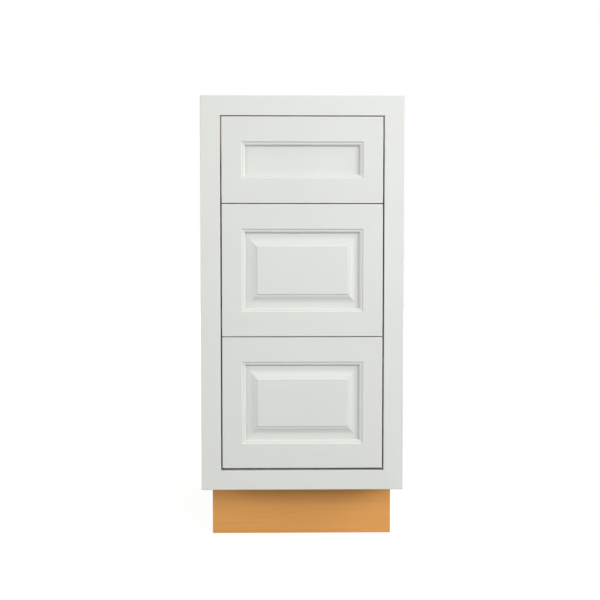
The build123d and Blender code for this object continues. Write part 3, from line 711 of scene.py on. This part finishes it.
def moulded_plastic(name, body, pale, plastic):
    """Moulded plastic with a spark texture, pale on its rubbed edges partly as painted highlight, and
    darker in its corners with dust and painted shade.
    """
    material, nodes = new_material(name)
    coordinates = nodes.add("TexCoord").outputs
    film = nodes.group(surface_film(), {
        "Vector": coordinates["Object"], "Ripple Width": plastic.texture, "Cloud Width": PLASTIC_CLOUD,
    })
    edge_and_corner_masks = wear_and_painted_light(nodes, coordinates, plastic.corner_reach)
    base = nodes.mix(nodes.maths("MULTIPLY", film["Cloud"], PLASTIC_CLOUD_TINT), body, pale)
    # Lighten slanted edges: partly rub, partly painted highlight
    base = nodes.mix(nodes.maths("MULTIPLY", edge_and_corner_masks["Rub and Highlight"], plastic.rub_and_highlight_share), base, pale)
    # Darken inner corners: painted shade with some dust
    base = nodes.mix(nodes.maths("MULTIPLY", edge_and_corner_masks["Corner"], plastic.corner_share), base, plastic.dust_and_shade)
    surface = nodes.add("BsdfPrincipled", {
        "Base Color": base,
        "Roughness": nodes.between(film["Ripple"], *NARROW, *PLASTIC_ROUGHNESS),
        "Normal": bump(nodes, film["Ripple"], plastic.relief),
    })
    close(nodes, surface)
    return material


def pale_floor(stage):
    """Matt pale floor that glows for the camera, so that it meets the white air without an edge."""
    material, nodes = new_material("Pale Floor")
    place = nodes.add("TexCoord").outputs["Object"]
    speck = nodes.between(nodes.noise(place, FLOOR_SPECK_SCALE), *NARROW, *FLOOR_SPECK)
    away = nodes.add("VectorMath", {0: place}, operation="LENGTH").outputs["Value"]
    glow = nodes.between(away, *GLOW_REACH, *GLOW)
    seen = nodes.add("LightPath").outputs["Is Camera Ray"]
    surface = nodes.add("BsdfPrincipled", {
        "Base Color": nodes.mix(1.0, stage.pale, speck, "MULTIPLY"),
        "Roughness": FLOOR_ROUGHNESS,
        "Specular IOR Level": FLOOR_SHINE,
        "Emission Color": WHITE,
        "Emission Strength": nodes.maths("MULTIPLY", glow, seen),
    })
    close(nodes, surface)
    return material


# Pieces

def dress(node, material):
    """Give a CAD node its material."""
    for slot in frame["nodes"][node].material_slots:
        slot.material = material


def select_only(piece):
    """Deselect everything else and make a piece the active one."""
    for other in bpy.context.view_layer.objects:
        other.select_set(False)
    piece.select_set(True)
    bpy.context.view_layer.objects.active = piece


def apply_modifier(piece, kind, **settings):
    """Add a modifier, set it up and apply it."""
    modifier = piece.modifiers.new(kind.title(), kind)
    for name, value in settings.items():
        setattr(modifier, name, value)
    select_only(piece)
    bpy.ops.object.modifier_apply(modifier=modifier.name)


def merged_copy(node, name):
    """Copy of a CAD node's mesh with its triangles merged into whole faces."""
    piece = bpy.data.objects.new(name, frame["nodes"][node].data.copy())
    bpy.context.scene.collection.objects.link(piece)
    select_only(piece)
    bpy.ops.mesh.customdata_custom_splitnormals_clear()
    bpy.ops.object.mode_set(mode="EDIT")
    bpy.ops.mesh.select_all(action="SELECT")
    bpy.ops.mesh.remove_doubles(threshold=MERGE_DISTANCE)
    bpy.ops.mesh.dissolve_limited(angle_limit=FLAT_WITHIN)
    bpy.ops.object.mode_set(mode="OBJECT")
    return piece


def stand_in(piece, node, material):
    """Put a finished piece in the place of a CAD node, on the same body."""
    piece.data.materials.clear()
    piece.data.materials.append(material)
    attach(piece, body_of(frame["nodes"][node])[0])
    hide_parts(node)


def rounded(node, radius, material):
    """Replace a CAD node by a piece like it with rounded hard edges and true flat faces."""
    piece = merged_copy(node, node + "_rounded")
    apply_modifier(
        piece, "BEVEL", width=radius, segments=BEVEL_STEPS, limit_method="ANGLE", angle_limit=HARD_EDGE,
    )
    select_only(piece)
    bpy.ops.object.shade_smooth_by_angle(angle=SMOOTH_WITHIN)
    apply_modifier(piece, "WEIGHTED_NORMAL", keep_sharp=True)
    stand_in(piece, node, material)


def along_log(offset, step, number):
    """Place in the log for the board of a numbered drawer."""
    return tuple(start + number * part for start, part in zip(offset, step))


# Operators

class CABINET_OT_paint_frame(Operator):
    """Paint the stiles and rails of the face frame"""

    bl_idname = "cabinet.paint_frame"
    bl_label = "Paint Face Frame"

    def execute(self, context):
        paint = context.scene.cabinet.paint
        material = satin_paint("Frame Paint", paint.frame_film, paint)
        for node in FACE_FRAME:
            dress(node, material)
        return {"FINISHED"}


class CABINET_OT_paint_fronts(Operator):
    """Paint the framed drawer fronts"""

    bl_idname = "cabinet.paint_fronts"
    bl_label = "Paint Drawer Fronts"

    def execute(self, context):
        paint = context.scene.cabinet.paint
        material = satin_paint("Front Paint", paint.front_film, paint)
        for drawer in DRAWERS:
            for piece in FRONT_PIECES:
                dress(f"{drawer}_front_{piece}", material)
        return {"FINISHED"}


class CABINET_OT_veneer_box(Operator):
    """Veneer the plywood panels of the cabinet's box"""

    bl_idname = "cabinet.veneer_box"
    bl_label = "Veneer Plywood Box"

    def execute(self, context):
        wood = context.scene.cabinet.wood
        tones = (wood.veneer_light, wood.veneer_dark)
        panels = (
            ("left_side_panel", (X_AXIS, Z_AXIS), (0.31, 0.02, 0.4), 1.0),
            ("right_side_panel", (X_AXIS, Z_AXIS), (-0.42, -0.05, 0.1), -1.0),
            ("cabinet_floor", (Z_AXIS, Y_AXIS), (0.03, 0.36, 0.7), 1.0),
            ("back_panel", (Y_AXIS, Z_AXIS), (0.04, 0.05, 0.2), -1.0),
        )
        for node, axes, offset, inside in panels:
            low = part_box(node)[0][axes[0]]
            material = plywood(f"Veneer {node}", wood, tones, axes, offset, low, inside=inside)
            dress(node, material)
        return {"FINISHED"}


class CABINET_OT_varnish_toe_kick(Operator):
    """Varnish the honey-coloured toe-kick board"""

    bl_idname = "cabinet.varnish_toe_kick"
    bl_label = "Varnish Toe Kick"

    def execute(self, context):
        wood = context.scene.cabinet.wood
        tones = (wood.toe_light, wood.toe_dark)
        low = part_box("toe_kick_board")[0].y
        offset = (0.05, 0.30, 0.0)
        axes = (Y_AXIS, X_AXIS)
        material = plywood("Honey Maple", wood, tones, axes, offset, low, TOE_FIGURE)
        dress("toe_kick_board", material)
        return {"FINISHED"}


class CABINET_OT_ease_cleats(Operator):
    """Ease the edges of the hanging rail, the corner braces and the slide cleats"""

    bl_idname = "cabinet.ease_cleats"
    bl_label = "Ease Rails and Cleats"

    def execute(self, context):
        wood = context.scene.cabinet.wood
        tones = (wood.cleat_light, wood.cleat_dark)
        pieces = (
            ("hanging_rail", X_AXIS, (0.06, 0.12, 0.3)),
            ("corner_braces", X_AXIS, (-0.7, 0.1, 0.0)),
            ("slide_cleats", Y_AXIS, (0.04, 0.2, 0.0)),
        )
        for node, axis, offset in pieces:
            name = f"Cleat Wood {node}"
            material = solid_board(name, wood, tones, axis, offset, CLEAT_FIGURE, bare=True)
            rounded(node, wood.easing, material)
        return {"FINISHED"}


class CABINET_OT_varnish_boxes(Operator):
    """Varnish the dovetailed drawer boxes, each board cut from its own place in the log"""

    bl_idname = "cabinet.varnish_boxes"
    bl_label = "Varnish Drawer Boxes"

    def execute(self, context):
        wood = context.scene.cabinet.wood
        tones = (wood.drawer_light, wood.drawer_dark)
        boards = (
            ("left_side", Y_AXIS, (0.27, 0.46, 0.0)),
            ("right_side", Y_AXIS, (-0.02, 0.41, 0.9)),
            ("front", X_AXIS, (0.66, 0.14, 0.4)),
            ("back", X_AXIS, (0.51, -0.16, 1.3)),
        )
        for number, drawer in enumerate(DRAWERS):
            for board, axis, offset in boards:
                node = f"{drawer}_box_{board}"
                offset = along_log(offset, BOARD_STEP, number)
                dress(node, solid_board(f"Maple {node}", wood, tones, axis, offset))
            node = f"{drawer}_box_bottom"
            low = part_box(node)[0].z
            offset = along_log((0.05, 0.2, 0.0), BOTTOM_STEP, number)
            dress(node, plywood(f"Maple {node}", wood, tones, (Z_AXIS, X_AXIS), offset, low))
        return {"FINISHED"}


class CABINET_OT_plate_slides(Operator):
    """Round and plate the folded steel rails of the slides"""

    bl_idname = "cabinet.plate_slides"
    bl_label = "Plate Slides"

    def execute(self, context):
        metal = context.scene.cabinet.metal
        material = zinc_plate(metal)
        rounded("slide_cabinet_rails", metal.bend, material)
        for drawer in DRAWERS:
            rounded(f"{drawer}_slide_drawer_rails", metal.bend, material)
            rounded(f"{drawer}_slide_middle_rails", metal.bend, material)
        return {"FINISHED"}


class CABINET_OT_mould_clips(Operator):
    """Mould the locking clips and the release levers"""

    bl_idname = "cabinet.mould_clips"
    bl_label = "Mould Clips and Levers"

    def execute(self, context):
        plastic = context.scene.cabinet.plastic
        grey = moulded_plastic("Grey Plastic", plastic.clip, plastic.clip_pale, plastic)
        orange = moulded_plastic("Lever Plastic", plastic.lever, plastic.lever_pale, plastic)
        for drawer in DRAWERS:
            rounded(f"{drawer}_locking_clips", plastic.rounding, grey)
            rounded(f"{drawer}_release_levers", plastic.rounding, orange)
        return {"FINISHED"}


class CABINET_OT_drive_screws(Operator):
    """Plate the screws of the slides and of the drawer fronts"""

    bl_idname = "cabinet.drive_screws"
    bl_label = "Drive Screws"

    def execute(self, context):
        material = screw_plate(context.scene.cabinet.metal)
        dress("slide_screws", material)
        for drawer in DRAWERS:
            dress(f"{drawer}_front_screws", material)
        return {"FINISHED"}


class CABINET_OT_set_stage(Operator):
    """Lay the floor, hang the lights and place the camera"""

    bl_idname = "cabinet.set_stage"
    bl_label = "Set Stage"

    def execute(self, context):
        stage = context.scene.cabinet.stage
        self.lay_floor(stage)
        self.light_air(context.scene, stage.air)
        target = Vector((0.0, CAD_BOX[0][1], CAD_BOX[1][2] / 2))
        self.hang_light("front_light", stage.front, target, stage.front_width, stage.front_power)
        self.hang_light("left_light", stage.left, target, stage.side_width, stage.left_power)
        self.hang_light("right_light", stage.right, target, stage.side_width, stage.right_power)
        self.hang_light("upper_light", stage.upper, target, stage.upper_width, stage.upper_power)
        self.hang_light("rear_light", stage.rear, target, stage.rear_width, stage.rear_power)
        self.place_camera(context.scene, stage)
        context.scene.view_settings.view_transform = "Standard"
        return {"FINISHED"}

    def lay_floor(self, stage):
        """Large pale floor under the cabinet."""
        bpy.ops.object.select_all(action="DESELECT")
        bpy.ops.mesh.primitive_plane_add(size=stage.floor)
        floor = bpy.context.object
        floor.name = "floor"
        floor.data.materials.append(pale_floor(stage))

    def light_air(self, scene, brightness):
        """Soft light from all round; the camera sees it as white."""
        world = bpy.data.worlds.new("Studio Air")
        world.use_nodes = True
        world.node_tree.nodes.clear()
        nodes = Nodes(world.node_tree)
        seen = nodes.add("LightPath").outputs["Is Camera Ray"]
        strength = nodes.between(seen, 0.0, 1.0, brightness, 1.0)
        air = nodes.add("Background", {"Color": WHITE, "Strength": strength})
        nodes.feed(nodes.add("OutputWorld").inputs["Surface"], air.outputs[0])
        scene.world = world

    def hang_light(self, name, place, target, width, watts):
        """Soft square light that looks at a target."""
        bpy.ops.object.select_all(action="DESELECT")
        bpy.ops.object.light_add(type="AREA", location=place)
        light = bpy.context.object
        light.name = name
        light.rotation_euler = (target - Vector(place)).to_track_quat("-Z", "Y").to_euler()
        light.data.size = width
        light.data.energy = watts

    def place_camera(self, scene, stage):
        """Camera in front of the cabinet, at the height of its middle drawer."""
        bpy.ops.object.select_all(action="DESELECT")
        view = (QUARTER_TURN - stage.tilt, 0.0, -stage.turn)
        bpy.ops.object.camera_add(location=stage.camera, rotation=view)
        camera = bpy.context.object
        camera.name = "camera"
        camera.data.lens = stage.lens
        scene.camera = camera


class VIEW3D_PT_cabinet(Panel):
    """Buttons for the cabinet's finishes, in the order that they are made"""

    bl_label = "Drawer Base Cabinet"
    bl_space_type = "VIEW_3D"
    bl_region_type = "UI"
    bl_category = "Cabinet"

    def draw(self, context):
        for operator in OPERATORS:
            self.layout.operator(operator.bl_idname)


OPERATORS = (
    CABINET_OT_paint_frame,
    CABINET_OT_paint_fronts,
    CABINET_OT_veneer_box,
    CABINET_OT_varnish_toe_kick,
    CABINET_OT_ease_cleats,
    CABINET_OT_varnish_boxes,
    CABINET_OT_plate_slides,
    CABINET_OT_mould_clips,
    CABINET_OT_drive_screws,
    CABINET_OT_set_stage,
)
SETTINGS = (
    PaintSettings, WoodSettings, MetalSettings, PlasticSettings, StageSettings, CabinetSettings,
)
CLASSES = (*SETTINGS, *OPERATORS, VIEW3D_PT_cabinet)


def register():
    """Make the settings, the operators and the panel known."""
    for each in CLASSES:
        bpy.utils.register_class(each)
    bpy.types.Scene.cabinet = PointerProperty(type=CabinetSettings)


def unregister():
    """Take them away again."""
    del bpy.types.Scene.cabinet
    for each in reversed(CLASSES):
        bpy.utils.unregister_class(each)


def main():
    """Run every operator in order."""
    register()
    bpy.ops.cabinet.paint_frame()
    bpy.ops.cabinet.paint_fronts()
    bpy.ops.cabinet.veneer_box()
    bpy.ops.cabinet.varnish_toe_kick()
    bpy.ops.cabinet.ease_cleats()
    bpy.ops.cabinet.varnish_boxes()
    bpy.ops.cabinet.plate_slides()
    bpy.ops.cabinet.mould_clips()
    bpy.ops.cabinet.drive_screws()
    bpy.ops.cabinet.set_stage()


if __name__ == "__main__":
    main()
